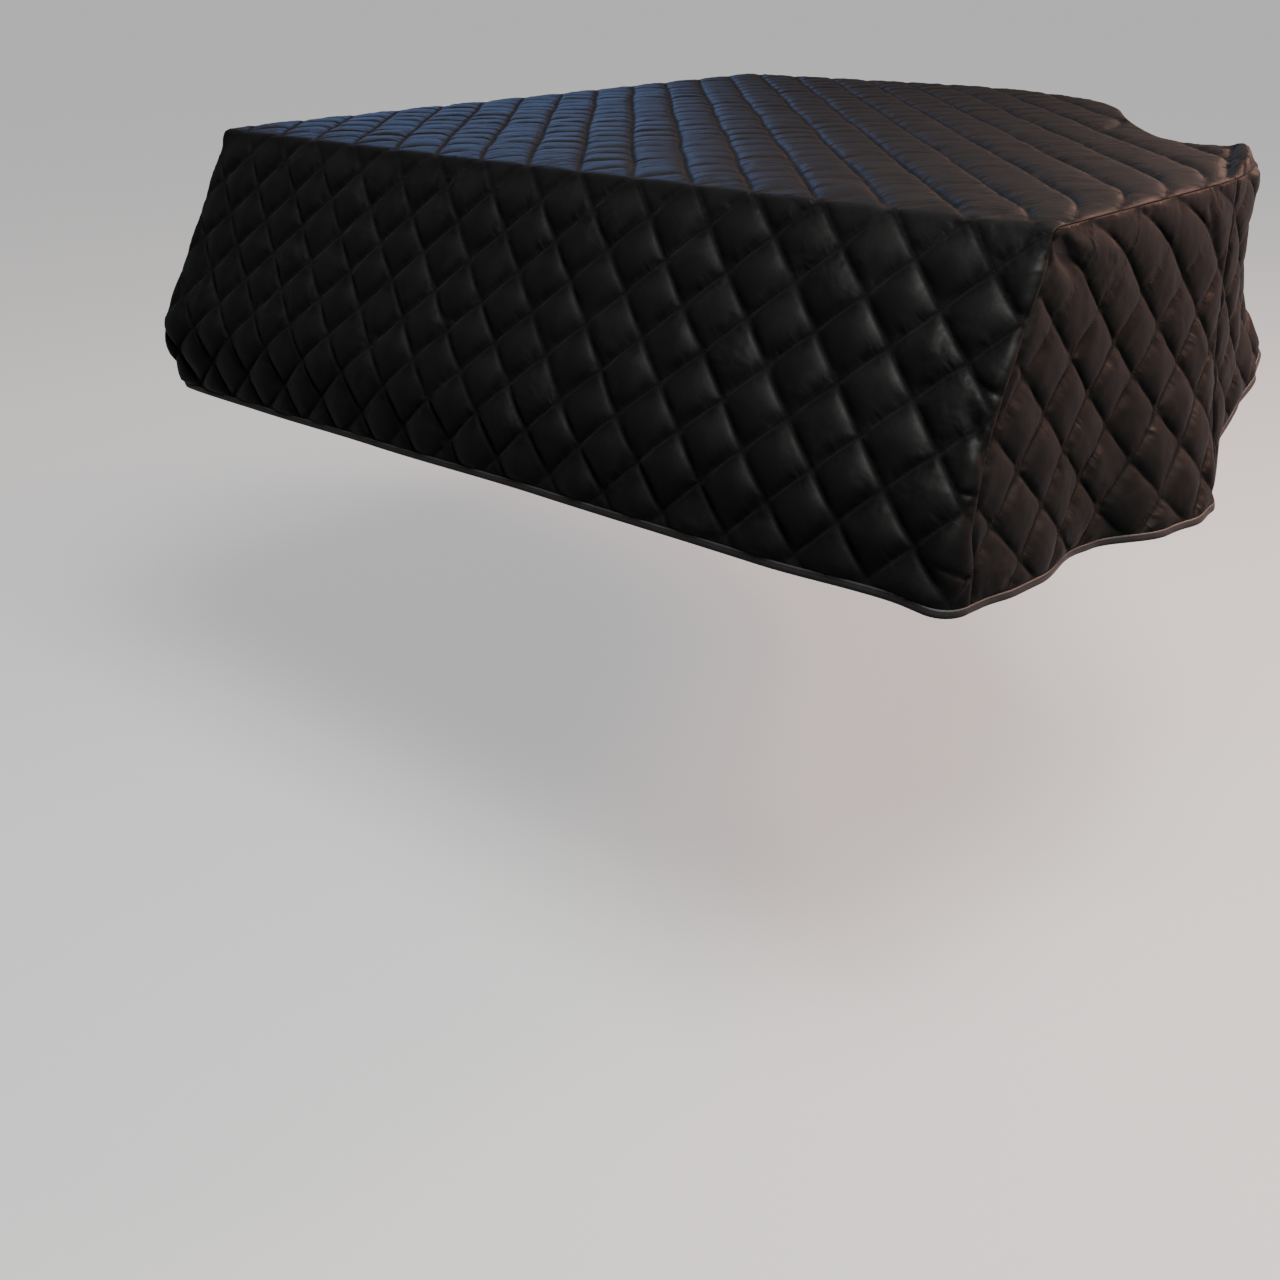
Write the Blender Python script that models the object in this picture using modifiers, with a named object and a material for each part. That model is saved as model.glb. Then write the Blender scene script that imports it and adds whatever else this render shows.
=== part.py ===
# Quilted fitted cover for a baby grand piano. The top and the sloping front are one cloth, three
# more panels hang from the edge of the top, and one bound edge runs round the whole hem.
# Metres, +Z up. The origin is the middle of the lid that the cover lies on, +X points to the treble
# side and +Y to the tail. A row of cloth is a line of equal height, a column runs down the cloth.

import math

import bmesh
import bpy
from mathutils import Vector

COVER_NAME = "grand_piano_cover"

# Driving sizes
COVER_WIDTH = 1.510
CLOTH_THICK = 0.005
SEAM_GAP = 0.0005
TOP_GAP = 0.0006
FOLD_RADIUS = 0.014
BEND_SOFTNESS = 0.030
CORNER_RADIUS_TAIL = 0.035
BACK_SEAM_AT = 0.430
TOP_SPREADS_FROM = 0.890
TOP_EVEN_FROM = 0.280
TAPE_THICK = 0.001
TAPE_HEIGHT = 0.009
TAPE_GAP = 0.0009
WELD_WITHIN = 0.00001

HALF_WIDTH = COVER_WIDTH / 2

# The edge of the top, walked from the front treble corner towards the tail:
# stretch, length, turn to the left in degrees
EDGE = (
    ("treble side", 0.370, 1),
    ("shoulder", 0.330, 37),
    ("shoulder corner", 0.040, 48),
    ("waist", 0.150, -45),
    ("bentside", 0.340, -10),
    ("tail shoulder", 0.210, 25),
    ("tail", 0.440, 34),
)

# How the front cloth leaves the top: it slopes out over the key end, then leans less, or back in,
# down to the hem. Angles are in degrees from the vertical, lengths are measured down the cloth.
# x, slope, length of the slope, lean, length down to the hem
FRONT = (
    (-0.755, 28.2, 0.344, -14, 0.446),
    (-0.640, 27.8, 0.330, -3, 0.436),
    (-0.500, 27.5, 0.323, 2, 0.431),
    (-0.200, 27.2, 0.322, 6, 0.424),
    (0.150, 26.7, 0.320, 10, 0.416),
    (0.500, 25.8, 0.318, 12, 0.413),
    (0.680, 25.8, 0.318, 12, 0.407),
    (0.755, 25.8, 0.318, 10, 0.413),
)

# How roundly the ends of the front cloth turn back to their seams.
# length down the cloth, bass end radius, treble end radius
FRONT_ENDS = (
    (0.00, 0.009, 0.009),
    (0.22, 0.010, 0.009),
    (0.32, 0.012, 0.020),
    (0.37, 0.018, 0.032),
    (0.44, 0.042, 0.036),
)
TURN_STARTS = 0.010
TURN_ENDS = 0.050
STRAIGHT_END = 0.004
CLEAR_ABOVE = 0.014

# The hem of the hanging panels, walked as EDGE is: how far it stands out from the edge of the top,
# and its drop under the lid. Within FRONT_REACH of the front it is drawn to the front cloth's hem.
# distance, out, drop
HEM = (
    (0.000, 0.000, 0.389),
    (0.015, 0.000, 0.390),
    (0.055, 0.008, 0.390),
    (0.090, 0.008, 0.390),
    (0.170, -0.013, 0.390),
    (0.195, -0.012, 0.391),
    (0.278, 0.028, 0.392),
    (0.330, 0.038, 0.392),
    (0.375, 0.033, 0.391),
    (0.430, 0.010, 0.386),
    (0.490, 0.000, 0.334),
    (0.560, 0.012, 0.309),
    (0.640, 0.036, 0.291),
    (0.715, 0.056, 0.272),
    (0.775, 0.044, 0.290),
    (0.880, 0.008, 0.350),
    (1.000, 0.022, 0.380),
    (1.120, 0.004, 0.385),
    (1.250, 0.030, 0.385),
    (1.380, 0.008, 0.385),
    (1.520, 0.030, 0.385),
    (1.660, 0.006, 0.388),
    (1.800, 0.026, 0.390),
    (1.950, 0.006, 0.392),
    (2.120, 0.028, 0.392),
    (2.240, 0.012, 0.393),
    (2.350, 0.036, 0.395),
    (2.460, 0.036, 0.395),
    (2.560, 0.006, 0.396),
    (2.640, 0.024, 0.397),
    (2.790, 0.004, 0.398),
    (2.940, 0.022, 0.398),
    (3.090, 0.004, 0.400),
    (3.240, 0.020, 0.400),
    (3.400, 0.004, 0.402),
    (3.630, 0.006, 0.404),
    (3.662, 0.006, 0.404),
)
HEM_GROWTH = 2.5
FRONT_REACH = 0.300

# How far the panels hang in under the lid's edge, half way down
TUCK = 0.006

# Rows of the front cloth from the hem up: share of the length to the hem, plus metres. Those with
# no share lie across the fold.
FRONT_ROWS = (
    (1.00, 0.0), (1.00, -0.012), (0.88, 0.0), (0.78, 0.0), (0.66, 0.0), (0.52, 0.0), (0.35, 0.0),
    (0.20, 0.0), (0.12, 0.0), (0.06, 0.0), (0.0, 0.0086), (0.0, 0.0030), (0.0, -0.0030), (0.0, -0.0086),
)

# Columns of the front cloth: plain ones between the ends, and the share of an end at each closer one
PLAIN_COLUMNS = 12
END_COLUMNS = (1.0, 0.66, 0.42, 0.20, 0.0)
END_WIDTH = 0.020
TAIL_CORNER_COLUMNS = 5

# Where the columns of the treble and bentside panels stand, as far as the tail shoulder
SIDE_COLUMNS = (
    0.0, 0.015, 0.055, 0.095, 0.135, 0.165, 0.20, 0.24, 0.28, 0.33, 0.38, 0.42, 0.43, 0.44,
    0.485, 0.53, 0.575, 0.62, 0.66, 0.695, 0.712, 0.728, 0.745, 0.79, 0.84, 0.89, 0.98, 1.07,
    1.16, 1.24, 1.31, 1.38,
)


def smoothstep(value):
    value = min(1.0, max(0.0, value))
    return value * value * (3 - 2 * value)


def read_table(table, at, column):
    """The value of a column of a table at a place between its rows, smoothly joined."""
    if at <= table[0][0]:
        return table[0][column]
    for low, high in zip(table, table[1:]):
        if at <= high[0]:
            share = smoothstep((at - low[0]) / (high[0] - low[0]))
            return low[column] + (high[column] - low[column]) * share
    return table[-1][column]


def soft_ramp(value, softness):
    """Zero, then value, with a round start that reaches softness to each side."""
    if value <= -softness:
        return 0.0
    if value >= softness:
        return value
    return (value + softness) ** 2 / (4 * softness)


def arc_step(x, y, heading, length, turn):
    """The end of an arc or a straight line that starts at x, y in the direction heading."""
    if abs(turn) < 1e-9:
        return x - math.sin(heading) * length, y + math.cos(heading) * length
    radius = length / turn
    ahead = heading + turn
    return (
        x + radius * (math.cos(ahead) - math.cos(heading)),
        y + radius * (math.sin(ahead) - math.sin(heading)),
    )


def finish_edge():
    """EDGE in radians with the straight tail end, its corner and the spine side added."""
    x, y, heading = HALF_WIDTH, 0.0, 0.0
    rows = []
    for name, length, degrees in EDGE:
        turn = math.radians(degrees)
        rows.append((length, turn))
        x, y = arc_step(x, y, heading, length, turn)
        heading += turn
    rows.append((x + HALF_WIDTH - CORNER_RADIUS_TAIL, 0.0))
    rows.append((CORNER_RADIUS_TAIL * math.pi / 2, math.pi / 2))
    rows.append((y - CORNER_RADIUS_TAIL, 0.0))
    return rows, y


EDGE_ROWS, LID_DEPTH = finish_edge()
EDGE_LENGTH = sum(length for length, turn in EDGE_ROWS)
SPINE_STARTS = EDGE_LENGTH - EDGE_ROWS[-1][0] + STRAIGHT_END
FRONT_Y = -LID_DEPTH / 2


def edge_point(at):
    """Place on the edge of the top and the direction that points out of it."""
    x, y, heading = HALF_WIDTH, FRONT_Y, 0.0
    for length, turn in EDGE_ROWS:
        part = min(at, length)
        bend = turn * part / length
        x, y = arc_step(x, y, heading, part, bend)
        heading += bend
        at -= part
        if at <= 0:
            break
    return Vector((x, y)), Vector((math.cos(heading), math.sin(heading)))


def front_profile(x, down):
    """How far in front of the lid's edge, and how high, the front cloth is."""
    slope = math.radians(read_table(FRONT, x, 1))
    lean = math.radians(read_table(FRONT, x, 3))
    slope_length = read_table(FRONT, x, 2)
    fold = FOLD_RADIUS * math.tan((math.pi / 2 - slope) / 2)
    over_fold = soft_ramp(down, fold)
    over_bend = soft_ramp(down - slope_length, BEND_SOFTNESS)
    out = down + (math.sin(slope) - 1) * over_fold + (math.sin(lean) - math.sin(slope)) * over_bend
    fall = math.cos(slope) * over_fold + (math.cos(lean) - math.cos(slope)) * over_bend
    return out, CLOTH_THICK - fall


def drop_share(side, down):
    """Share of the drop to the hem that an end of the front cloth has at a length down it."""
    hem = read_table(FRONT, side * HALF_WIDTH, 4)
    height = front_profile(side * HALF_WIDTH, down)[1]
    return max(0.0, height / front_profile(side * HALF_WIDTH, hem)[1])


def stand_out(at, share):
    """How far a hanging panel stands out from the edge of the top, at a share of its drop."""
    return read_table(HEM, at, 1) * share ** HEM_GROWTH - TUCK * (4 * share * (1 - share)) ** 2


def end_turn(side, down):
    """Radius, angle and start of the round end of the front cloth, and where its cut edge is."""
    radius = read_table(FRONT_ENDS, down, 2 if side > 0 else 1)
    angle = math.pi / 2 * smoothstep((down - TURN_STARTS) / (TURN_ENDS - TURN_STARTS))
    end = HALF_WIDTH + stand_out(0 if side > 0 else EDGE_LENGTH, drop_share(side, down))
    start = end - radius * math.sin(angle) - STRAIGHT_END * math.cos(angle)
    return radius, angle, start, start + radius * angle + STRAIGHT_END


def front_point(across, down):
    """Outer face of the front cloth at a place measured on the flat cloth from the lid's edge."""
    side = 1 if across > 0 else -1
    radius, whole, start, cut = end_turn(side, down)
    out, height = front_profile(max(-HALF_WIDTH, min(HALF_WIDTH, across)), down)
    if abs(across) <= start:
        return Vector((across, FRONT_Y - out, height))
    angle = min(whole, (abs(across) - start) / radius)
    past = abs(across) - start - radius * angle
    along = start + radius * math.sin(angle) + past * math.cos(whole)
    back = radius * (1 - math.cos(angle)) + past * math.sin(whole)
    return Vector((side * along, FRONT_Y - out + back, height))


def down_to(row, x):
    """Length down the flat cloth to a row of FRONT_ROWS."""
    return row[0] * read_table(FRONT, x, 4) + row[1]


def front_columns(row):
    """Places across the flat cloth where the columns of a row stand, bass to treble."""
    ends = {}
    for side in (-1, 1):
        radius, angle, start, cut = end_turn(side, down_to(row, side * HALF_WIDTH))
        turned = cut - STRAIGHT_END
        inner = [turned - share * (turned - start + END_WIDTH) for share in END_COLUMNS]
        ends[side] = [side * place for place in inner + [cut]]
    bass = ends[-1][::-1]
    step = (ends[1][0] - bass[-1]) / PLAIN_COLUMNS
    return bass + [bass[-1] + step * i for i in range(1, PLAIN_COLUMNS)] + ends[1]


def front_seam(side, row):
    """The corner of the front cloth at a seam, on its outer face, at a row of FRONT_ROWS."""
    down = down_to(row, side * HALF_WIDTH)
    return front_point(side * end_turn(side, down)[3], down)


def seam_shift(side, row):
    """How far from the lid's front edge a hanging panel starts, at a row of FRONT_ROWS.

    Near the fold the front cloth isn't fully turned, and the panel also clears its thickness.
    """
    down = down_to(row, side * HALF_WIDTH)
    slope = math.radians(read_table(FRONT, side * HALF_WIDTH, 1))
    behind = CLOTH_THICK * math.cos(end_turn(side, down - CLEAR_ABOVE)[1]) / math.cos(slope)
    return front_seam(side, row).y - FRONT_Y + behind + SEAM_GAP


def hem_drop(at):
    """Drop of the hem, which meets the front cloth's own hem at both ends."""
    drop = read_table(HEM, at, 2)
    for side, near in ((1, 1 - at / FRONT_REACH), (-1, 1 - (EDGE_LENGTH - at) / FRONT_REACH)):
        end = HEM[0] if side > 0 else HEM[-1]
        drop -= (front_seam(side, FRONT_ROWS[0]).z + end[2]) * smoothstep(near)
    return drop


def skirt_point(at, row):
    """Outer face of the hanging panels at a row of FRONT_ROWS, or at their top edge for None."""
    place, outward = edge_point(at)
    if row is None:
        place.y = max(place.y, FRONT_Y - FRONT_ROWS[-1][1] + SEAM_GAP)
        return Vector((place.x, place.y, -TOP_GAP))
    spine = smoothstep((at - SPINE_STARTS) / (EDGE_LENGTH - SPINE_STARTS))
    share = drop_share(1, down_to(row, HALF_WIDTH)) * (1 - spine)
    share += drop_share(-1, down_to(row, -HALF_WIDTH)) * spine
    place += outward * stand_out(at, share)
    place.y += max(0.0, 1 - at / FRONT_REACH) * seam_shift(1, row)
    place.y += max(0.0, 1 - (EDGE_LENGTH - at) / FRONT_REACH) * seam_shift(-1, row)
    return Vector((place.x, place.y, -hem_drop(at) * share))


def material(name, colour, roughness):
    made = bpy.data.materials.new(name)
    made.use_nodes = True
    shader = made.node_tree.nodes["Principled BSDF"]
    shader.inputs["Base Color"].default_value = (*colour, 1.0)
    shader.inputs["Roughness"].default_value = roughness
    shader.inputs["Metallic"].default_value = 0.0
    made.diffuse_color = (*colour, 1.0)
    return made


def grid_mesh(name, rows, closed=False):
    """A sheet of quads through rows of points. Its front is seen with the rows stacked upwards."""
    if closed:
        rows = [row + row[:1] for row in rows + rows[:1]]
    shape = bmesh.new()
    bmesh.ops.create_grid(shape, x_segments=len(rows[0]) - 1, y_segments=len(rows) - 1, size=1)
    for vertex, point in zip(shape.verts, [point for row in rows for point in row]):
        vertex.co = point
    if closed:
        bmesh.ops.remove_doubles(shape, verts=shape.verts, dist=WELD_WITHIN)
        bmesh.ops.recalc_face_normals(shape, faces=shape.faces)
    mesh = bpy.data.meshes.new(name)
    shape.to_mesh(mesh)
    shape.free()
    return mesh


def add_object(collection, name, mesh, finish):
    made = bpy.data.objects.new(name, mesh)
    mesh.materials.append(finish)
    collection.objects.link(made)
    return made


def add_sheet(collection, name, rows, finish):
    """A panel: its outer face as a grid, given the cloth's thickness to the inside."""
    made = add_object(collection, name, grid_mesh(name, rows), finish)
    thick = made.modifiers.new("cloth", "SOLIDIFY")
    thick.thickness = CLOTH_THICK
    thick.offset = -1
    thick.use_even_offset = False
    return hem_frames(made.data, len(rows[0]))


def hem_frames(mesh, columns):
    """Place, outward and downward directions at each column of a panel's hem, its first row."""
    frames = []
    for i in range(columns):
        low = mesh.vertices[i]
        down = low.co - mesh.vertices[i + columns].co
        down -= low.normal * down.dot(low.normal)
        frames.append((low.co.copy(), low.normal.copy(), down.normalized()))
    return frames


def join_frames(panels):
    """One closed row of hem frames, in which the two ends at each seam are made one."""
    ring = []
    for panel in panels:
        if ring:
            last = ring.pop()
            first = panel[0]
            panel = [tuple((a + b) / 2 for a, b in zip(last, first))] + panel[1:]
        ring += panel
    last = ring.pop()
    ring[0] = tuple((a + b) / 2 for a, b in zip(last, ring[0]))
    return ring


def binding_sections(ring):
    """The folded tape's section, open to the top, at each hem frame."""
    outer = TAPE_GAP + TAPE_THICK
    profile = (
        (TAPE_GAP, -TAPE_HEIGHT),
        (outer, -TAPE_HEIGHT),
        (outer, outer),
        (-CLOTH_THICK - outer, outer),
        (-CLOTH_THICK - outer, -TAPE_HEIGHT),
        (-CLOTH_THICK - TAPE_GAP, -TAPE_HEIGHT),
        (-CLOTH_THICK - TAPE_GAP, TAPE_GAP),
        (TAPE_GAP, TAPE_GAP),
    )
    return [
        [place + out.normalized() * proud + down.normalized() * below for proud, below in profile]
        for place, out, down in ring
    ]


def tail_columns():
    """Places along the tail where the columns of the top come out, as far as its spine corner."""
    step = EDGE_ROWS[-2][0] / TAIL_CORNER_COLUMNS
    first = SPINE_STARTS - STRAIGHT_END - EDGE_ROWS[-2][0]
    corner = [first + step * i for i in range(TAIL_CORNER_COLUMNS + 1)] + [SPINE_STARTS]
    count = PLAIN_COLUMNS + 2 * len(END_COLUMNS) + 1 - len(corner)
    step = (first - SIDE_COLUMNS[-1]) / count
    return [SIDE_COLUMNS[-1] + step * i for i in range(count)] + corner


def top_rows(fold_row):
    """The top: rows straight across as far as the bentside, then spread out to the tail."""
    tail_places = tail_columns()[::-1]
    tail_length = tail_places[0] - tail_places[-1]
    tail = [edge_point(at)[0] for at in tail_places]
    fold_shares = [(point.x + HALF_WIDTH) / COVER_WIDTH for point in fold_row]
    tail_shares = [(tail_places[0] - at) / tail_length for at in tail_places]
    rows = []
    for at in SIDE_COLUMNS[1:]:
        edge = edge_point(at)[0]
        along = max(0.0, (at - TOP_SPREADS_FROM) / (SIDE_COLUMNS[-1] - TOP_SPREADS_FROM))
        start = edge_point(min(at, TOP_SPREADS_FROM))[0]
        bulge = edge - start.lerp(tail[-1], along)
        row = []
        for back, front_share, back_share in zip(tail, fold_shares, tail_shares):
            share = front_share + (back_share - front_share) * min(1.0, at / TOP_EVEN_FROM)
            front = Vector((-HALF_WIDTH + (start.x + HALF_WIDTH) * share, start.y))
            place = front.lerp(back, along) + bulge * share
            row.append(Vector((place.x, place.y, CLOTH_THICK)))
        rows.append(row)
    return rows


def body_rows():
    """The one cloth of the front and the top, from the hem over the fold to the tail."""
    rows = [
        [front_point(across, down_to(row, across)) for across in front_columns(row)]
        for row in FRONT_ROWS
    ]
    return rows + top_rows(rows[-1])


def spine_columns():
    """Places along the spine side where the rows of the top come out."""
    length = EDGE_LENGTH - SPINE_STARTS
    return [EDGE_LENGTH - length * at / SIDE_COLUMNS[-1] for at in reversed(SIDE_COLUMNS)]


def skirt_rows(columns, clear_start, clear_end):
    """Rows of a hanging panel from the hem up, set back from its seams by half a gap each."""
    places = list(columns)
    if clear_start:
        places[0] += SEAM_GAP / 2
    if clear_end:
        places[-1] -= SEAM_GAP / 2
    hanging = [row for row in FRONT_ROWS if row[0] > 0]
    return [[skirt_point(at, row) for at in places] for row in hanging + [None]]


def main():
    for old in list(bpy.data.objects):
        bpy.data.objects.remove(old)
    cover = bpy.data.collections.new(COVER_NAME)
    bpy.context.scene.collection.children.link(cover)
    quilt = material("quilted_cloth", (0.020, 0.020, 0.023), 0.55)
    tape = material("binding_tape", (0.014, 0.014, 0.016), 0.60)
    seam = SIDE_COLUMNS.index(BACK_SEAM_AT)
    treble = SIDE_COLUMNS[:seam + 1]
    bentside = SIDE_COLUMNS[seam:-1] + tuple(tail_columns())
    panels = [
        add_sheet(cover, "body_panel", body_rows(), quilt),
        add_sheet(cover, "treble_side_panel", skirt_rows(treble, False, True), quilt),
        add_sheet(cover, "bentside_panel", skirt_rows(bentside, True, True), quilt),
        add_sheet(cover, "spine_side_panel", skirt_rows(spine_columns(), True, False), quilt),
    ]
    sections = binding_sections(join_frames(panels))
    add_object(cover, "hem_binding", grid_mesh("hem_binding", sections, closed=True), tape)


main()
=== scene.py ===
# Quilted cover for a baby grand piano: each panel is cut flat, quilted, and laid on its hanging shape.
import math

import bpy
import numpy as np
from mathutils import Matrix, Vector, kdtree, noise
from mathutils.geometry import delaunay_2d_cdt


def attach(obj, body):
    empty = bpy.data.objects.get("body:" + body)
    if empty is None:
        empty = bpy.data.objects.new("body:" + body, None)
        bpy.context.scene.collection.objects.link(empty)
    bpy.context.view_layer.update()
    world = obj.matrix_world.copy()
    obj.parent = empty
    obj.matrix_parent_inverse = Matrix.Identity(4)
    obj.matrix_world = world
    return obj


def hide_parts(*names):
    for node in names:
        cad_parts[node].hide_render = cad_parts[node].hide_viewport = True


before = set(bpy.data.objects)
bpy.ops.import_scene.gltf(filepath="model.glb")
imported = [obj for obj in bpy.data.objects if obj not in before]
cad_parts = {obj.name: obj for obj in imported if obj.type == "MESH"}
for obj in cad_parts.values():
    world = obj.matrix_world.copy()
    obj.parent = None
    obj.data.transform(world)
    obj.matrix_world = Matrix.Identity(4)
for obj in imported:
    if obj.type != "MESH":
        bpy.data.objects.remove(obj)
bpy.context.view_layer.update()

print("frame loaded:", ", ".join(sorted(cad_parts)))

shape = {
    "width": 1.510,            # across the lid, in metres as everything here
    "thick": 0.005,
    "foldRadius": 0.014,       # where the top turns down in front
    "bendSoftness": 0.030,     # of the bend lower down the front
    "tailCorner": 0.035,
    "backSeam": 0.430,         # where the treble side ends, along the edge of the lid
    "seamGap": 0.0005,
    "clearAbove": 0.014,       # a side keeps clear of the front's end this far above it
    "tuck": 0.006,             # how far the sides hang in, half way down
    "hemGrowth": 2.5,          # how late on the way down the waves of the hem begin
    "frontReach": 0.300,       # how far back the sides still follow the front
    "turnStarts": 0.010,       # the round ends of the front begin this far down,
    "turnEnds": 0.050,         # and have their whole turn here
    "straightEnd": 0.004,
    "seamSteps": 240,          # places at which a front seam is measured
}

# edge of the lid from the front treble corner to the tail: length, turn to the left in degrees
lidEdge = (
    (0.370, 1), (0.330, 37), (0.040, 48), (0.150, -45), (0.340, -10), (0.210, 25), (0.440, 34),
)

# x, slope of the front in degrees, its length, lean below it, length down to the hem
frontRows = np.array((
    (-0.755, 28.2, 0.344, -14, 0.446),
    (-0.640, 27.8, 0.330, -3, 0.436),
    (-0.500, 27.5, 0.323, 2, 0.431),
    (-0.200, 27.2, 0.322, 6, 0.424),
    (0.150, 26.7, 0.320, 10, 0.416),
    (0.500, 25.8, 0.318, 12, 0.413),
    (0.680, 25.8, 0.318, 12, 0.407),
    (0.755, 25.8, 0.318, 10, 0.413),
))

# length down the front, radius of its round end: bass, treble
frontEnds = np.array((
    (0.00, 0.009, 0.009), (0.22, 0.010, 0.009), (0.32, 0.012, 0.020),
    (0.37, 0.018, 0.032), (0.44, 0.042, 0.036),
))

# along the edge of the lid, how far the hem stands out, its drop
hemRows = np.array((
    (0.000, 0.000, 0.389), (0.015, 0.000, 0.390), (0.055, 0.008, 0.390), (0.090, 0.008, 0.390),
    (0.170, -0.013, 0.390), (0.195, -0.012, 0.391), (0.278, 0.028, 0.392), (0.330, 0.038, 0.392),
    (0.375, 0.033, 0.391), (0.430, 0.010, 0.386), (0.490, 0.000, 0.334), (0.560, 0.012, 0.309),
    (0.640, 0.036, 0.291), (0.715, 0.056, 0.272), (0.775, 0.044, 0.290), (0.880, 0.008, 0.350),
    (1.000, 0.022, 0.380), (1.120, 0.004, 0.385), (1.250, 0.030, 0.385), (1.380, 0.008, 0.385),
    (1.520, 0.030, 0.385), (1.660, 0.006, 0.388), (1.800, 0.026, 0.390), (1.950, 0.006, 0.392),
    (2.120, 0.028, 0.392), (2.240, 0.012, 0.393), (2.350, 0.036, 0.395), (2.460, 0.036, 0.395),
    (2.560, 0.006, 0.396), (2.640, 0.024, 0.397), (2.790, 0.004, 0.398), (2.940, 0.022, 0.398),
    (3.090, 0.004, 0.400), (3.240, 0.020, 0.400), (3.400, 0.004, 0.402), (3.630, 0.006, 0.404),
    (3.662, 0.006, 0.404),
))

halfWidth = shape["width"] / 2


def smooth(value):
    value = np.clip(value, 0.0, 1.0)
    return value * value * (3 - 2 * value)


def readTable(rows, at, column):
    at = np.asarray(at, float)
    low = np.clip(np.searchsorted(rows[:, 0], at, side="right") - 1, 0, len(rows) - 2)
    share = smooth((at - rows[low, 0]) / (rows[low + 1, 0] - rows[low, 0]))
    return rows[low, column] + (rows[low + 1, column] - rows[low, column]) * share


def softRamp(value, softness):
    rounded = (value + softness) ** 2 / (4 * softness)
    return np.where(value <= -softness, 0.0, np.where(value >= softness, value, rounded))


def walkEdge():
    # start, place, heading and curvature of every stretch of the lid's edge
    almostStraight = 1e-6
    x, y, heading, walked = halfWidth, 0.0, 0.0, 0.0
    stretches = []
    for length, degrees in lidEdge + (("tail", 0), ("corner", 90), ("spine", 0)):
        turn = math.radians(degrees)
        if length == "tail":
            length = x + halfWidth - shape["tailCorner"]
        elif length == "corner":
            length = shape["tailCorner"] * math.pi / 2
        elif length == "spine":
            length = y
        bend = turn / length if degrees else almostStraight
        stretches.append((walked, x, y, heading, bend))
        ahead = heading + bend * length
        x += (math.cos(ahead) - math.cos(heading)) / bend
        y += (math.sin(ahead) - math.sin(heading)) / bend
        heading = ahead
        walked += length
    return np.array(stretches), walked


edgeStretches, edgeLength = walkEdge()
lidDepth = edgeStretches[-2, 2]
frontY = -lidDepth / 2
spineStarts = edgeStretches[-1, 0] + shape["straightEnd"]


def edgePoint(at):
    at = np.clip(at, 0.0, edgeLength)
    index = np.clip(np.searchsorted(edgeStretches[:, 0], at, side="right") - 1, 0, None)
    start, x, y, heading, bend = edgeStretches[index].T
    ahead = heading + bend * (at - start)
    place = np.stack([
        x + (np.cos(ahead) - np.cos(heading)) / bend,
        y + (np.sin(ahead) - np.sin(heading)) / bend + frontY,
    ], -1)
    return place, np.stack([np.cos(ahead), np.sin(ahead)], -1)


def frontProfile(x, down):
    slope = np.radians(readTable(frontRows, x, 1))
    lean = np.radians(readTable(frontRows, x, 3))
    fold = shape["foldRadius"] * np.tan((np.pi / 2 - slope) / 2)
    overFold = softRamp(down, fold)
    overBend = softRamp(down - readTable(frontRows, x, 2), shape["bendSoftness"])
    out = down + (np.sin(slope) - 1) * overFold + (np.sin(lean) - np.sin(slope)) * overBend
    fall = np.cos(slope) * overFold + (np.cos(lean) - np.cos(slope)) * overBend
    return out, shape["thick"] - fall


def hemLength(x):
    return readTable(frontRows, x, 4)


def dropShare(side, down):
    whole = frontProfile(side * halfWidth, hemLength(side * halfWidth))[1]
    return np.maximum(0.0, frontProfile(side * halfWidth, down)[1] / whole)


def standOut(at, share):
    share = np.clip(share, 0.0, None)
    bulge = 4 * share * (1 - share)
    return readTable(hemRows, at, 1) * share ** shape["hemGrowth"] - shape["tuck"] * bulge ** 2


def endTurn(side, down):
    # radius, angle and start of the round end of the front, and where it is cut
    radius = readTable(frontEnds, down, 2 if side > 0 else 1)
    past = (down - shape["turnStarts"]) / (shape["turnEnds"] - shape["turnStarts"])
    angle = np.pi / 2 * smooth(past)
    end = halfWidth + standOut(0 if side > 0 else edgeLength, dropShare(side, down))
    start = end - radius * np.sin(angle) - shape["straightEnd"] * np.cos(angle)
    return radius, angle, start, start + radius * angle + shape["straightEnd"]


def bodyPoint(across, up):
    # the top and the front, measured on the flat cloth from the fold
    down = -up
    out, height = frontProfile(np.clip(across, -halfWidth, halfWidth), down)
    along = np.array(across, float)
    back = np.zeros_like(along)
    for side in (1, -1):
        radius, whole, start = endTurn(side, down)[:3]
        beyond = side * across - start
        angle = np.clip(beyond / radius, 0.0, whole)
        past = beyond - radius * angle
        turned = start + radius * np.sin(angle) + past * np.cos(whole)
        along = np.where(beyond > 0, side * turned, along)
        back = np.where(beyond > 0, radius * (1 - np.cos(angle)) + past * np.sin(whole), back)
    return np.stack([along, frontY - out + back, height], -1)


def seamShifts(side):
    # shares of the drop, how far before the lid a side panel starts there, and how high the front ends
    down = np.linspace(0.0, float(hemLength(side * halfWidth)), shape["seamSteps"])
    turned = endTurn(side, down - shape["clearAbove"])[1]
    slope = np.radians(readTable(frontRows, side * halfWidth, 1))
    behind = shape["thick"] * np.cos(turned) / np.cos(slope)
    seam = bodyPoint(side * endTurn(side, down)[3], -down)
    return dropShare(side, down), seam[:, 1] - frontY + behind + shape["seamGap"], seam[-1, 2]


shifts = {side: seamShifts(side) for side in (1, -1)}


def hemDrop(at):
    # near the front a side hangs just as low as the front does there
    drop = readTable(hemRows, at, 2)
    for side, away in ((1, at), (-1, edgeLength - at)):
        ownDrop = hemRows[0 if side > 0 else -1, 2]
        drop = drop - (shifts[side][2] + ownDrop) * smooth(1 - away / shape["frontReach"])
    return drop


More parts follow.
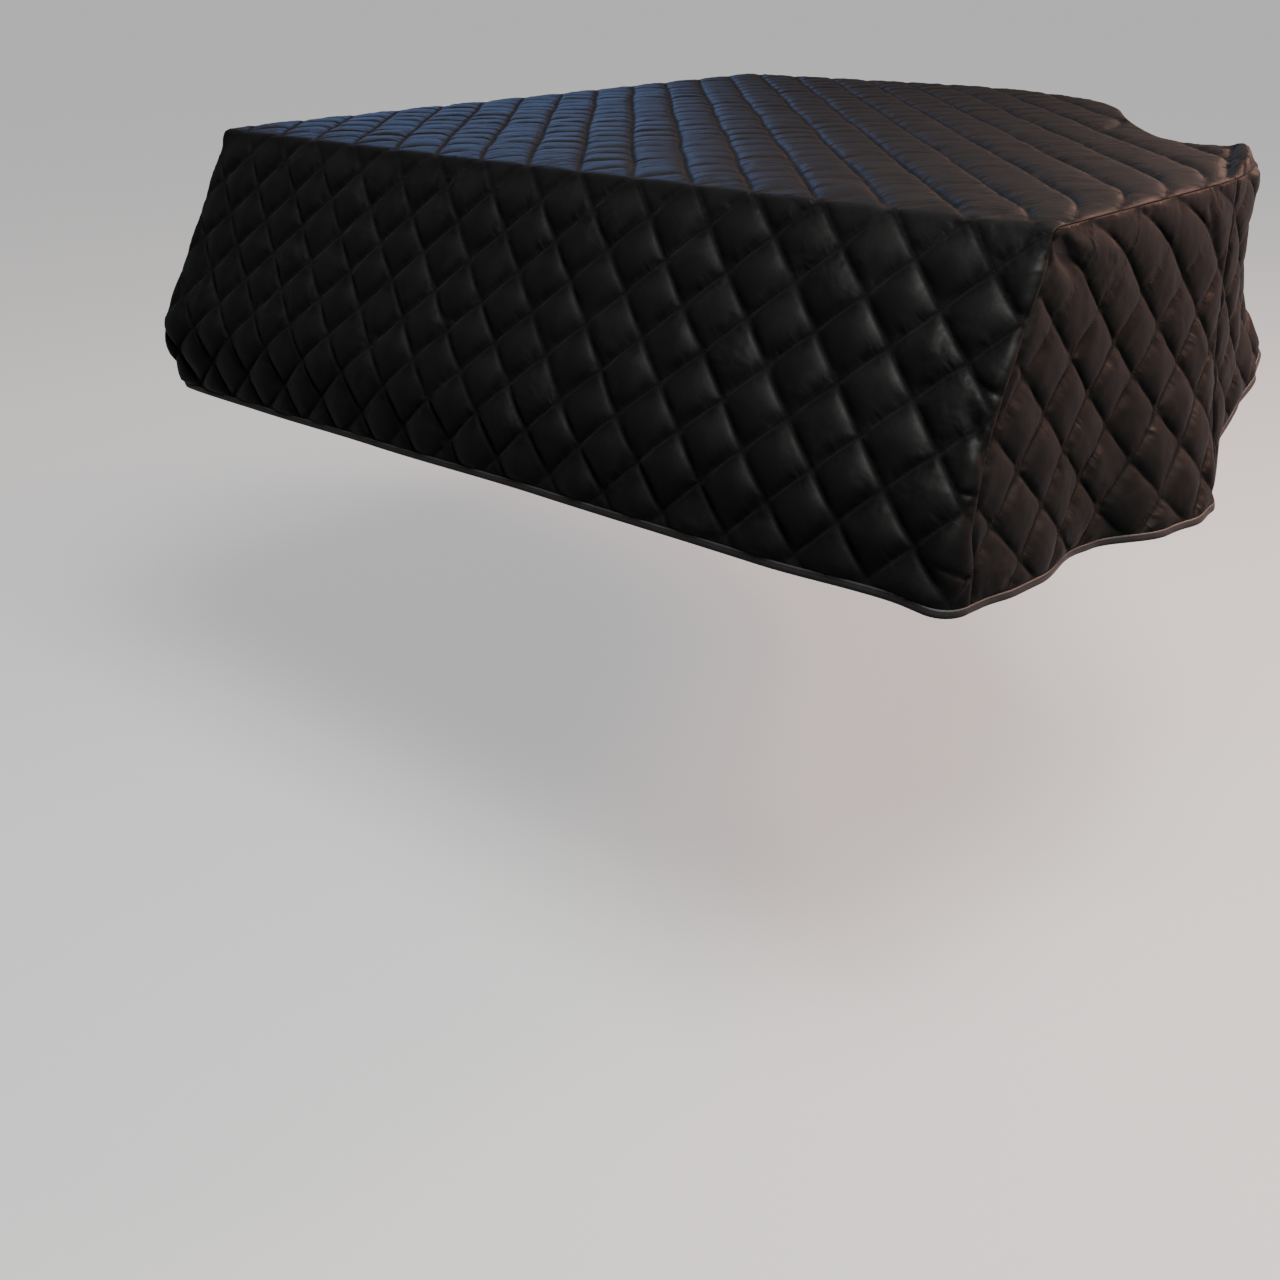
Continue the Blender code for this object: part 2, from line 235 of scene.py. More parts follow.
def shiftAt(side, share):
    return np.interp(share, shifts[side][0], shifts[side][1])


def sidePoint(side, along, up):
    # a hanging panel: along it on the flat cloth, and up from the edge of the lid
    fromFront = along if side > 0 else edgeLength - along
    at = np.clip(fromFront, 0.0, None)
    for again in range(4):     # the seam's shift depends on the place that it leads to
        edgeAt = at if side > 0 else edgeLength - at
        share = -up / hemDrop(edgeAt)
        shift = shiftAt(side, share)
        near = (fromFront - shift) / (1 - shift / shape["frontReach"])
        at = np.where(near < shape["frontReach"], near, fromFront)
    edgeAt = at if side > 0 else edgeLength - at
    place, outward = edgePoint(edgeAt)
    beyond = np.minimum(at, 0.0)    # cloth past the end of the edge runs straight on
    place = place + outward * standOut(edgeAt, share)[:, None]
    place[:, 1] += beyond + np.clip(1 - at / shape["frontReach"], 0.0, 1.0) * shift
    return np.concatenate([place, -(hemDrop(edgeAt) * share)[:, None]], 1)


def alongAt(side, at, share):
    near = at if side > 0 else edgeLength - at
    shift = np.clip(1 - near / shape["frontReach"], 0.0, None) * shiftAt(side, share)
    return at + shift if side > 0 else at - shift


cutting = {
    "seamInset": 0.0010,       # the top is cut this much inside the edge of the lid
    "topEdgeUp": 0.0014,       # where the sides start above the underside of the lid cloth
    "lap": 0.0034,             # how far one panel is tucked under the next at an upright seam
    "freeEnd": 0.0004,         # an end that isn't tucked stops this much short of the seam
    "hemShort": 0.001,         # the front's hem is this much shorter at each end
    # points of each stretch of an outline, before it is walked evenly
    "dense": {"frontHem": 1500, "frontEnd": 500, "lid": 4000, "side": 2500, "sideEnd": 400},
    "outlineStep": 0.001,      # how closely an outline is walked
    "edgeGap": 0.0058,         # widest space between points near an edge
    "beside": (0.0016, 0.0042),                  # points beside each stitched line near an edge
    "rows": (0.0015, 0.0034, 0.0060, 0.0095),    # rows of points inside the outline
    "rowClear": 0.93,          # share of its distance that a row keeps from every edge
    "band": 0.0122,            # the grid starts this far in
    "foldStep": 0.0042,        # between points along a crease
    "foldRows": (-1.7, -1.0, -0.5, 0.0, 0.5, 1.0, 1.7),
    "foldClear": 0.55,         # share of that step that the grid keeps from a crease
    "innerStep": 3,            # divisions of a diamond on the inner face
    "innerBand": 0.010,
    "rimThick": {"seam": 0.0008, "end": 0.0008, "tucked": 0.0008, "hem": 0.0026},
}


def evenRun(points, step):
    points = np.asarray(points, float)
    walked = np.concatenate([[0.0], np.cumsum(np.linalg.norm(np.diff(points, axis=0), axis=1))])
    count = max(2, int(round(walked[-1] / step)) + 1)
    at = np.linspace(0.0, walked[-1], count)
    return np.stack([np.interp(at, walked, points[:, i]) for i in (0, 1)], 1)


def bodyOutline():
    cuts = {side: float(endTurn(side, float(hemLength(side * halfWidth)))[3]) for side in (1, -1)}
    short, dense = cutting["hemShort"], cutting["dense"]
    across = np.linspace(-cuts[-1] + short, cuts[1] - short, dense["frontHem"])
    hem = np.stack([across, -hemLength(across)], 1)
    sides = {}
    for side in (1, -1):
        down = np.linspace(0.0, float(hemLength(side * halfWidth)), dense["frontEnd"])
        sides[side] = np.stack([side * (endTurn(side, down)[3] - cutting["seamInset"]), -down], 1)
    place, outward = edgePoint(np.linspace(0.0, edgeLength, dense["lid"]))
    top = place - outward * cutting["seamInset"]
    top[:, 1] -= frontY
    top = np.concatenate([sides[1][:1], top[1:-1], sides[-1][:1]])
    return [("hem", hem), ("end", sides[1][::-1]), ("seam", top), ("end", sides[-1])]


def sideOutline(side, start, stop, tucked=(1, 0)):
    # start and stop along the edge of the lid; tucked says which ends lie under their neighbour
    dense = cutting["dense"]
    share = np.linspace(0.0, 1.0, dense["sideEnd"])
    first = start - cutting["lap"] * tucked[0]
    last = stop + (cutting["lap"] if tucked[1] else -cutting["freeEnd"])

    def endAt(at):
        here = np.full_like(share, at)
        run = np.stack([alongAt(side, here, share), -hemDrop(here) * share], 1)
        run[0, 1] = cutting["topEdgeUp"]
        return run

    low, high = endAt(first), endAt(last)
    at = np.linspace(first, last, dense["side"])
    hem = np.stack([alongAt(side, at, np.ones_like(at)), -hemDrop(at)], 1)
    top = np.linspace(high[0], low[0], dense["side"])
    ends = ["tucked" if end else "end" for end in tucked]
    return [("hem", hem), (ends[1], high[::-1]), ("seam", top), (ends[0], low)]


def waver(points, quilt):
    # stitched lines are never quite straight, and near some seams the cloth is drawn along
    x, y = points.T * quilt["waves"]
    shift = quilt["seed"]
    move = quilt["wander"] * np.stack([
        np.sin(0.83 * x + 1.9 * y + shift) + 0.7 * np.sin(2.3 * x - 0.6 * y + 2 * shift),
        np.sin(1.1 * y - 1.4 * x + 3 * shift) + 0.7 * np.sin(1.9 * y + 0.9 * x + shift),
    ], 1)
    softLow, softHigh = quilt["drawnEnds"]
    for across, edge, reach, amount, low, high in quilt["drawn"]:
        other = points[:, 1 - across]
        near = np.clip(1 - np.abs(points[:, across] - edge) / reach, 0, 1) ** 2
        near = amount * near * smooth((other - low) / softLow) * smooth((high - other) / softHigh)
        move[:, 1 - across] += near
    return move


def placeOnQuilt(points, quilt):
    # flat cloth to diamonds: stitched lines lie where either value is whole
    return (points - quilt["corner"] + waver(points, quilt)) @ quilt["toCells"].T


def placeOffQuilt(cells, quilt):
    straight = cells @ quilt["toFlat"].T + quilt["corner"]
    points = straight
    for again in range(12):    # enough to settle
        points = straight - waver(points, quilt)
    return points


def makeQuilt(corner, turn=0.0, seed=1, **changes):
    across = 0.0975            # from corner to corner of a diamond
    c, s = math.cos(turn), math.sin(turn)
    toCells = np.array(((1, 1), (1, -1))) / across @ np.array(((c, s), (-s, c)))
    made = {
        "corner": np.array(corner), "toCells": toCells, "toFlat": np.linalg.inv(toCells),
        "side": across / math.sqrt(2), "seed": seed,
        "wander": 0.0010, "waves": 14.5,       # of the stitched lines, and how close together
        "fine": 12,                            # points across a diamond
        "settle": 0.0022,                      # how far the stitched lines lie below the CAD face
        # two values: where the cloth hangs, and on the top
        "puff": (0.0070, 0.0060), "sharp": (3.0, 3.6), "uneven": (0.12, 0.25),
        "pucker": (0.0010, 0.0007), "wrinkle": (0.0009, 0.0006),
        # two values: lines that run one way, and lines that run the other
        "depths": (1.0, 1.0), "groove": (0.0010, 0.0010), "grooveWide": (0.0045, 0.0045),
        # the second lines fade: faintest share, share at the left, and between which heights
        "fade": None,
        # cloth drawn along an edge: which way, where, its reach, how far, from and to
        "drawn": (), "drawnEnds": (0.05, 0.08),
        # a line on the cloth, its height, its width, and how much of it fades out to its end
        "folds": (),
        # a line on the cloth, its reach, and the share of the padding that is left on it
        "taut": (),
        "gather": 0.0014, "gatherAtHem": 0.35, "pinch": 0.0014, "seamTaut": 0.45,
        "underTape": 0.0075, "seamRise": 0.009, "hemRise": 0.012,
        "seamLow": 0.0012, "hemLow": 0.0016, "endLow": 0.0010, "tuckedLow": 0.0046, "deepest": 0.0046,
    }
    made.update(changes)
    return made


def gridCuts(count):
    # places across a diamond, closer together beside the stitched lines
    even = np.arange(count) / count
    crowding = 0.66
    return even - crowding / (2 * np.pi) * np.sin(2 * np.pi * even)


def quiltGrid(quilt, low, high, count):
    corners = np.array([(x, y) for x in (low[0], high[0]) for y in (low[1], high[1])])
    cells = placeOnQuilt(corners, quilt)
    spans = []
    for column in (0, 1):
        whole = np.arange(math.floor(cells[:, column].min()) - 1, math.ceil(cells[:, column].max()) + 1)
        spans.append((whole[:, None] + gridCuts(count)[None]).ravel())
    p, q = np.meshgrid(*spans, indexing="ij")
    points = placeOffQuilt(np.stack([p.ravel(), q.ravel()], 1), quilt)
    inBox = np.all((points > low) & (points < high), axis=1)
    return points[inBox]


def pickAlong(run, quilt):
    # which points of a dense run become corners of the cloth: more of them beside stitched lines
    step = cutting["outlineStep"]
    cells = np.floor(placeOnQuilt(run, quilt))
    kept = {0, len(run) - 1}
    for column in (0, 1):
        for crossing in np.nonzero(np.diff(cells[:, column]))[0]:
            kept.add(crossing)
            for beside in cutting["beside"]:
                kept.update((crossing - round(beside / step), crossing + round(beside / step)))
    kept = sorted(k for k in kept if 0 <= k < len(run))
    picked = []
    for first, last in zip(kept, kept[1:]):
        count = max(1, math.ceil((last - first) * step / cutting["edgeGap"]))
        picked += [first + (last - first) * i // count for i in range(count)]
    return picked


def treeOf(points):
    tree = kdtree.KDTree(len(points))
    for i, (x, y) in enumerate(points):
        tree.insert((x, y, 0.0), i)
    tree.balance()
    return tree


def nearestOn(tree, points):
    # distance to an edge, and how far along it
    found = [tree.find((x, y, 0.0)) for x, y in points]
    return np.array([hit[2] for hit in found]), np.array([hit[1] for hit in found]) * cutting["outlineStep"]


def distances(tree, points):
    return nearestOn(tree, points)[0]


def insideOf(outline, points):
    inside = np.zeros(len(points), bool)
    x, y = points.T
    for (ax, ay), (bx, by) in zip(outline, np.roll(outline, -1, axis=0)):
        if ay == by:
            continue
        crosses = ((ay > y) != (by > y)) & (x < (bx - ax) * (y - ay) / (by - ay) + ax)
        inside ^= crosses
    return inside


def cutPanel(runs, quilt):
    # outline and points of a panel on the flat cloth
    step = cutting["outlineStep"]
    dense = [(kind, evenRun(points, step)) for kind, points in runs]
    outline = np.concatenate([run[pickAlong(run, quilt)] for kind, run in dense])
    every = np.concatenate([run for kind, run in dense])
    trees = {
        kind: treeOf(np.concatenate([run for name, run in dense if name == kind]))
        for kind in dict.fromkeys(name for name, run in dense)
    }
    edgeTree = treeOf(every)
    points = []
    for offset in cutting["rows"]:
        for kind, run in dense:
            ahead = np.gradient(run, axis=0)
            inward = np.stack([-ahead[:, 1], ahead[:, 0]], 1)
            row = run + inward / np.linalg.norm(inward, axis=1)[:, None] * offset
            row = row[pickAlong(row, quilt)]
            row = row[distances(edgeTree, row) > cutting["rowClear"] * offset]
            points.append(row)
    grid = quiltGrid(quilt, every.min(0), every.max(0), quilt["fine"])
    grid = grid[insideOf(outline, grid)]
    grid = grid[distances(edgeTree, grid) > cutting["band"]]
    for line in quilt["folds"]:      # more points where the cloth is folded
        start, run = np.array(line[:2]), np.array(line[2:4]) - line[:2]
        long = np.linalg.norm(run)
        count = int(long / cutting["foldStep"])
        beside = np.array((-run[1], run[0])) / long * line[5]
        middle = start + run * np.linspace(0, 1, count)[:, None]
        row = np.concatenate([middle + beside * offset for offset in cutting["foldRows"]])
        row = row[insideOf(outline, row)]
        row = row[distances(edgeTree, row) > cutting["band"]]
        if len(row):
            folded = treeOf(row)
            clear = cutting["foldStep"] * cutting["foldClear"]
            grid = np.concatenate([grid[distances(folded, grid) > clear], row])
    points.append(grid)
    inner = quiltGrid(quilt, every.min(0), every.max(0), cutting["innerStep"])
    inner = inner[insideOf(outline, inner)]
    inner = inner[distances(edgeTree, inner) > cutting["innerBand"]]
    return outline, np.concatenate(points), inner, trees


def triangles(outline, points):
    # every point keeps its place in the list; the outline comes first
    flat = np.concatenate([outline, points])
    count = len(outline)
    edges = [(i, (i + 1) % count) for i in range(count)]
    sameSpot = 1e-7
    made = delaunay_2d_cdt([Vector(point) for point in flat], edges, [], 0, sameSpot, False)
    faces = np.array(made[2])
    if len(made[0]) != len(flat):
        raise ValueError("two points of a panel lie on each other")
    # drop what fills the hollows round the outline, starting from the outline's own edges
    owner = {}
    for index in np.nonzero(np.all(faces < count, axis=1))[0]:
        a, b, c = faces[index].tolist()
        owner.update({(a, b): index, (b, c): index, (c, a): index})
    dropped, found = set(), [owner[(b, a)] for a, b in edges if (b, a) in owner]
    while found:
        index = found.pop()
        if index in dropped:
            continue
        dropped.add(index)
        a, b, c = faces[index].tolist()
        for start, end in ((a, b), (b, c), (c, a)):
            if (start + 1) % count != end and (end + 1) % count != start and (end, start) in owner:
                found.append(owner[(end, start)])
    return flat, np.delete(faces, sorted(dropped), axis=0)


padding = {
    "draws": 48,               # diamonds each way before their random draws come again
    "differ": 0.14,            # how much diamonds differ in height
    "lean": 0.45,              # and how much they lean
    "puckerAt": 0.0055,        # the puckers beside a stitched line are highest here
    "puckerLength": 0.0085,
    "strayLength": 0.030,      # of the deeper and shallower stretches of a groove
    "wrinkles": ((0.026, 1.0, None), (0.010, 0.35, 4.4)),    # size, share, seed
    "star": (5, 0.008, 0.013),               # creases round a crossing: how many, start and reach
    "gathers": ((0.0115, 1.0, 3.3), (0.006, 0.5, 8.1)),      # along a seam: length, share, seed
    "gatherReach": 0.022,
    "gatherLength": 0.05,      # across the seam
    "tautReach": 0.030,
    "rimPower": 2.2,           # how steeply the padding ends at a seam
    "domeRise": 0.008,
    "fadeWide": 0.06,          # of the change from the hanging cloth to the top
}
cellDraws = np.random.default_rng(11).uniform(-1.0, 1.0, (padding["draws"], padding["draws"], 4))


def noiseOf(x, y, z):
    # where x or y is the number of a line, an odd factor keeps its noise apart from its neighbour's
    return np.array([noise.noise((a, b, z)) for a, b in zip(x, y)])


def fromLine(points, line):
    # distance to a straight line on the cloth, and the share of it that is passed there
    start, end = np.array(line[:2]), np.array(line[2:4])
    run = end - start
    share = np.clip((points - start) @ run / (run @ run), 0, 1)
    return np.linalg.norm(points - start - share[:, None] * run, axis=1), share


def drawsAt(cells):
    return cellDraws[cells[:, 0].astype(int) % padding["draws"], cells[:, 1].astype(int) % padding["draws"]]


def lineDepths(points, cells, quilt, uneven):
    # how deep both sets of stitched lines lie
    depths = np.array(quilt["depths"]) * np.ones_like(points)
    if quilt["fade"]:
        faintest, leftmost, above, below = quilt["fade"]
        faint = faintest + (leftmost - faintest) * smooth(0.5 - points[:, 0])
        depths[:, 1] *= faint + (1 - faint) * smooth((above - points[:, 1]) / (above - below))
    depths[:, 1] *= 1 + uneven * noiseOf(cells[:, 0] * 1.3, np.round(cells[:, 1]) * 2.7, quilt["seed"] + 40)
    return np.clip(depths, 0.0, 1.0)


def crossingPuckers(cells, quilt):
    # creases like a star round some of the crossings
    count, start, reach = padding["star"]
    nearest = np.round(cells)
    away = (cells - nearest) * quilt["side"]
    radius = np.linalg.norm(away, axis=1)
    star = drawsAt(nearest)
    folds = np.sin(count * np.arctan2(away[:, 1], away[:, 0]) + 3 * star[:, 3])
    folds = quilt["pinch"] * np.clip(star[:, 0], 0, 1) * folds
    return folds * (radius / start) * np.exp(-(radius / reach) ** 2)


def quiltHeight(points, quilt, trees):
    # how far the outer face stands off the CAD face, over the flat cloth
    cells = placeOnQuilt(points, quilt)
    part = cells - np.floor(cells)
    side, seed = quilt["side"], quilt["seed"]
    onTop = smooth(points[:, 1] / padding["fadeWide"] + 0.5)
    puff, sharp, uneven, pucker, wrinkle = (
        quilt[name][0] + (quilt[name][1] - quilt[name][0]) * onTop
        for name in ("puff", "sharp", "uneven", "pucker", "wrinkle")
    )
    toLine = np.minimum(part, 1 - part) * side
    depths = lineDepths(points, cells, quilt, uneven)
    rise = 1 - depths * (1 - np.clip(2 * toLine / side, 0, 1)) ** sharp[:, None]
    dome = rise[:, 0] * rise[:, 1]
    draws = drawsAt(np.floor(cells))
    tilt = (part[:, 0] - 0.5) * draws[:, 1] + (part[:, 1] - 0.5) * draws[:, 2]
    height = puff * dome * (1 + padding["differ"] * draws[:, 0] + padding["lean"] * tilt)
    grooves = np.zeros(len(points))
    for column in (0, 1):
        across = toLine[:, column] / padding["puckerAt"]
        window = across * np.exp(1 - across) * depths[:, column]
        line = np.round(cells[:, column])
        alongLine = cells[:, 1 - column] * side
        lineNoise = noiseOf(alongLine / padding["puckerLength"], line * 5.3, seed + column * 9.1)
        height += pucker * window * lineNoise * rise[:, 1 - column]
        stray = noiseOf(alongLine / padding["strayLength"], line * 3.1, seed + column * 4.7 + 20)
        groove = np.exp(-(toLine[:, column] / quilt["grooveWide"][column]) ** 2) * depths[:, column]
        grooves += quilt["groove"][column] * (1 + stray) * groove
    for size, share, ownSeed in padding["wrinkles"]:
        height += share * wrinkle * dome * noiseOf(points[:, 0] / size, points[:, 1] / size, ownSeed or seed)
    height += crossingPuckers(cells, quilt)
    for line in quilt["taut"]:
        height *= 1 - (1 - line[5]) * np.exp(-(fromLine(points, line)[0] / line[4]) ** 2)
    height -= quilt["settle"] + grooves
    inside = np.ones(len(points))
    for kind, tree in trees.items():
        atHem = kind == "hem"
        away, along = nearestOn(tree, points)
        flatFor = {"hem": quilt["underTape"], "tucked": cutting["lap"]}.get(kind, 0.0)
        risen = np.clip((away - flatFor) / quilt["hemRise" if atHem else "seamRise"], 0, 1)
        rising = 1 - (1 - risen) ** padding["rimPower"]
        if not atHem:
            height *= 1 - quilt["seamTaut"] * np.exp(-(away / padding["tautReach"]) ** 2)
        gathers = sum(
            share * noiseOf(along / length, away / padding["gatherLength"], ownSeed)
            for length, share, ownSeed in padding["gathers"]
        )
        gather = quilt["gather"] * (quilt["gatherAtHem"] if atHem else 1.0)
        height += gather * gathers * np.exp(-(away / padding["gatherReach"]) ** 2)
        height = height * rising - quilt[kind + "Low"] * (1 - rising)
        dome = dome * rising
        inside = np.minimum(inside, smooth((away - flatFor) / padding["domeRise"]))
    for line in quilt["folds"]:
        away, passed = fromLine(points, line)
        height += line[4] * (1 - line[6] * smooth(passed)) * inside * np.exp(-(away / line[5]) ** 2)
    return np.maximum(height, -quilt["deepest"]), dome


def normalsOf(place, points):
    small = 0.0008
    ahead = place(points[:, 0] + small, points[:, 1]) - place(points[:, 0] - small, points[:, 1])
    upward = place(points[:, 0], points[:, 1] + small) - place(points[:, 0], points[:, 1] - small)
    normal = np.cross(ahead, upward)
    return normal / np.linalg.norm(normal, axis=1)[:, None]


def onCover(place, points, height):
    return place(points[:, 0], points[:, 1]) + normalsOf(place, points) * height[:, None]


def meshObject(name, corners, faces, material, flat, puff, fromStitching):
    mesh = bpy.data.meshes.new(name)
    mesh.from_pydata(corners.tolist(), [], faces)
    mesh.shade_smooth()
    loops = np.empty(len(mesh.loops), np.int32)
    mesh.loops.foreach_get("vertex_index", loops)
    layer = mesh.uv_layers.new(name="flat")
    layer.data.foreach_set("uv", flat[loops].astype(np.float32).ravel())
    layer = mesh.attributes.new("puff", "FLOAT", "POINT")
    layer.data.foreach_set("value", puff.astype(np.float32))
    layer = mesh.attributes.new("fromStitching", "FLOAT_VECTOR", "POINT")
    layer.data.foreach_set("vector", fromStitching.astype(np.float32).ravel())
    mesh.materials.append(material)
    made = bpy.data.objects.new(name, mesh)
    bpy.context.scene.collection.objects.link(made)
    return made


def sewPanel(name, runs, quilt, place, material):
    # the outer and the inner face of a panel, closed along its edges
    outline, points, innerPoints, trees = cutPanel(runs, quilt)
    flat, outerFaces = triangles(outline, points)
    innerFlat, innerFaces = triangles(outline, innerPoints)
    rim = len(outline)
    height, puff = quiltHeight(flat, quilt, trees)
    outer = onCover(place, flat, height)
    innerHeight = np.full(len(innerFlat), -shape["thick"])
    nearest = np.argmin([distances(tree, outline) for tree in trees.values()], axis=0)
    innerHeight[:rim] = height[:rim] - np.array([cutting["rimThick"][kind] for kind in trees])[nearest]
    inner = onCover(place, innerFlat, innerHeight)
    shift = len(outer)
    faces = outerFaces.tolist() + (innerFaces[:, ::-1] + shift).tolist()
    faces += [[(i + 1) % rim, i, i + shift, (i + 1) % rim + shift] for i in range(rim)]
    corners = np.concatenate([outer, inner])
    cells = placeOnQuilt(flat, quilt)
    fromStitching = np.ones((len(corners), 3))     # the inner face counts as far from all stitching
    fromStitching[:shift, :2] = np.abs(cells - np.round(cells)) * quilt["side"]
    innerPuff = np.full(len(inner), 0.5)
    made = meshObject(
        name, corners, faces, material, np.concatenate([flat, innerFlat]),
        np.concatenate([puff, innerPuff]), fromStitching,
    )
    a, b, c = flat[outerFaces].transpose(1, 0, 2)
    size = flat.max(0) - flat.min(0)
    area = 0.5 * np.sum((b - a)[:, 0] * (c - a)[:, 1] - (b - a)[:, 1] * (c - a)[:, 0])
    print(f"{name}: {len(outerFaces) + len(innerFaces) + 2 * rim} triangles, {area:.2f} square metres")
    flatSize = (float(size[0]), float(size[1]))
    return made, {"flat": flatSize, "area": float(area), "trees": trees, "outline": outline}


class Wire:
    # an output of a node, which can be added to, multiplied and so on
    def __init__(self, board, socket):
        self.board, self.socket = board, socket

    def sum(self, operation, first, second):
        return self.board.math(operation, first, second)

    def __add__(self, other):
        return self.sum("ADD", self, other)

    def __radd__(self, other):
        return self.sum("ADD", other, self)

    def __sub__(self, other):
        return self.sum("SUBTRACT", self, other)

    def __rsub__(self, other):
        return self.sum("SUBTRACT", other, self)

    def __mul__(self, other):
        return self.sum("MULTIPLY", self, other)

    def __rmul__(self, other):
        return self.sum("MULTIPLY", other, self)


class Board:
    # a node tree that is being filled
    def __init__(self, tree):
        self.tree = tree

    def add(self, kind, settings=None, values=None):
        node = self.tree.nodes.new(kind)
        for key, value in (settings or {}).items():
            setattr(node, key, value)
        for key, value in (values or {}).items():
            if isinstance(value, Wire):
                self.tree.links.new(value.socket, node.inputs[key])
            else:
                node.inputs[key].default_value = value
        return node

    def wire(self, out, kind, settings=None, values=None):
        return Wire(self, self.add(kind, settings, values).outputs[out])

    def math(self, operation, first, second=0.0):
        return self.wire(0, "ShaderNodeMath", {"operation": operation}, {0: first, 1: second})

    def mix(self, factor, first, second):
        settings = {"data_type": "RGBA"}
        return self.wire(2, "ShaderNodeMix", settings, {0: factor, 6: first, 7: second})

    def range(self, value, low, high, toLow=0.0, toHigh=1.0):
        values = {"Value": value, "From Min": low, "From Max": high, "To Min": toLow, "To Max": toHigh}
        return self.wire("Result", "ShaderNodeMapRange", {"interpolation_type": "SMOOTHSTEP"}, values)

    def noise(self, place, scale, detail, distortion=0.0, dimensions="2D"):
        values = {"Vector": place, "Scale": scale, "Detail": detail, "Distortion": distortion}
        return self.wire("Fac", "ShaderNodeTexNoise", {"noise_dimensions": dimensions}, values)

    def bump(self, strength, distance, height, under=None):
        values = {"Strength": strength, "Distance": distance, "Height": height}
        if under:
            values["Normal"] = under
        return self.wire("Normal", "ShaderNodeBump", None, values)

    def apart(self, vector):
        node = self.add("ShaderNodeSeparateXYZ", None, {"Vector": vector})
        return [Wire(self, node.outputs[axis]) for axis in "XYZ"]


def geometryTree(name, inputs):
    tree = bpy.data.node_groups.new(name, "GeometryNodeTree")
    tree.interface.new_socket("Geometry", in_out="INPUT", socket_type="NodeSocketGeometry")
    for label, kind in inputs:
        tree.interface.new_socket(label, in_out="INPUT", socket_type=kind)
    tree.interface.new_socket("Geometry", in_out="OUTPUT", socket_type="NodeSocketGeometry")
    board = Board(tree)
    source = board.add("NodeGroupInput")
    return board, {socket.name: Wire(board, socket) for socket in source.outputs if socket.name}


def outwardOf(board):
    settings = {"data_type": "FLOAT_VECTOR"}
    return board.wire("Attribute", "GeometryNodeInputNamedAttribute", settings, {"Name": "outward"})


def finishTree(board, geometry, material):
    geometry = board.wire("Geometry", "GeometryNodeRealizeInstances", None, {"Geometry": geometry})
    smoothed = {"Geometry": geometry, "Shade Smooth": True}
    geometry = board.wire("Geometry", "GeometryNodeSetShadeSmooth", None, smoothed)
    finished = {"Geometry": geometry, "Material": material}
    geometry = board.wire("Geometry", "GeometryNodeSetMaterial", None, finished)
    board.add("NodeGroupOutput", None, {"Geometry": geometry})
    return board.tree


def stitchTree():
    # short threads laid end to end along every line of the mesh it is given
    board, given = geometryTree("stitchRow", (
        ("Spacing", "NodeSocketFloat"), ("Length", "NodeSocketFloat"), ("Width", "NodeSocketFloat"),
        ("Thread", "NodeSocketMaterial"), ("Seed", "NodeSocketInt"),
    ))
    lines = board.wire("Curve", "GeometryNodeMeshToCurve", None, {"Mesh": given["Geometry"]})
    spaced = {"Curve": lines, "Length": given["Spacing"]}
    lines = board.wire("Curve", "GeometryNodeResampleCurve", {"mode": "LENGTH"}, spaced)
    thread = board.wire("Mesh", "GeometryNodeMeshUVSphere", None, {"Segments": 4, "Rings": 2, "Radius": 0.5})
    along = board.wire("Tangent", "GeometryNodeInputTangent")
    align = "FunctionNodeAlignRotationToVector"
    turn = board.wire("Rotation", align, {"axis": "X"}, {"Vector": along})
    upright = {"axis": "Z", "pivot_axis": "X"}
    turn = board.wire("Rotation", align, upright, {"Rotation": turn, "Vector": outwardOf(board)})
    uneven = {"Min": 0.86, "Max": 1.05, "Seed": given["Seed"]}
    longer = board.wire("Value", "FunctionNodeRandomValue", {"data_type": "FLOAT"}, uneven)
    flattened = given["Width"] * 0.8
    size = board.wire("Vector", "ShaderNodeCombineXYZ", None, {
        "X": given["Length"] * longer, "Y": given["Width"], "Z": flattened,
    })
    rows = board.wire("Instances", "GeometryNodeInstanceOnPoints", None, {
        "Points": lines, "Instance": thread, "Rotation": turn, "Scale": size,
    })
    return finishTree(board, rows, given["Thread"])


def tapeTree():
    # a section carried round the path it is given, upright on the cloth
    board, given = geometryTree("foldedTape", (
        ("Section", "NodeSocketObject"), ("Tape", "NodeSocketMaterial"),
    ))
    path = board.wire("Curve", "GeometryNodeMeshToCurve", None, {"Mesh": given["Geometry"]})
    upright = {"Curve": path, "Normal": outwardOf(board)}
    path = board.wire("Curve", "GeometryNodeSetCurveNormal", {"mode": "FREE"}, upright)
    section = board.wire("Geometry", "GeometryNodeObjectInfo", None, {"Object": given["Section"]})
    section = board.wire("Curve", "GeometryNodeMeshToCurve", None, {"Mesh": section})
    folded = board.wire("Mesh", "GeometryNodeCurveToMesh", None, {"Curve": path, "Profile Curve": section})
    return finishTree(board, folded, given["Tape"])


def runTree(name, source, tree, settings):
    modifier = source.modifiers.new("nodes", "NODES")
    modifier.node_group = tree
    for item in tree.interface.items_tree:
        if item.in_out == "INPUT" and item.name in settings:
            modifier[item.identifier] = settings[item.name]
    evaluated = source.evaluated_get(bpy.context.evaluated_depsgraph_get())
    mesh = bpy.data.meshes.new_from_object(evaluated)
    source.modifiers.remove(modifier)
    bpy.data.objects.remove(source)
    mesh.name = name
    made = bpy.data.objects.new(name, mesh)
    bpy.context.scene.collection.objects.link(made)
    return made


def lineObject(name, points, edges, outward=None):
    mesh = bpy.data.meshes.new(name)
    mesh.from_pydata(points.tolist(), edges, [])
    if outward is not None:
        layer = mesh.attributes.new("outward", "FLOAT_VECTOR", "POINT")
        layer.data.foreach_set("vector", outward.astype(np.float32).ravel())
    made = bpy.data.objects.new(name, mesh)
    bpy.context.scene.collection.objects.link(made)
    return made


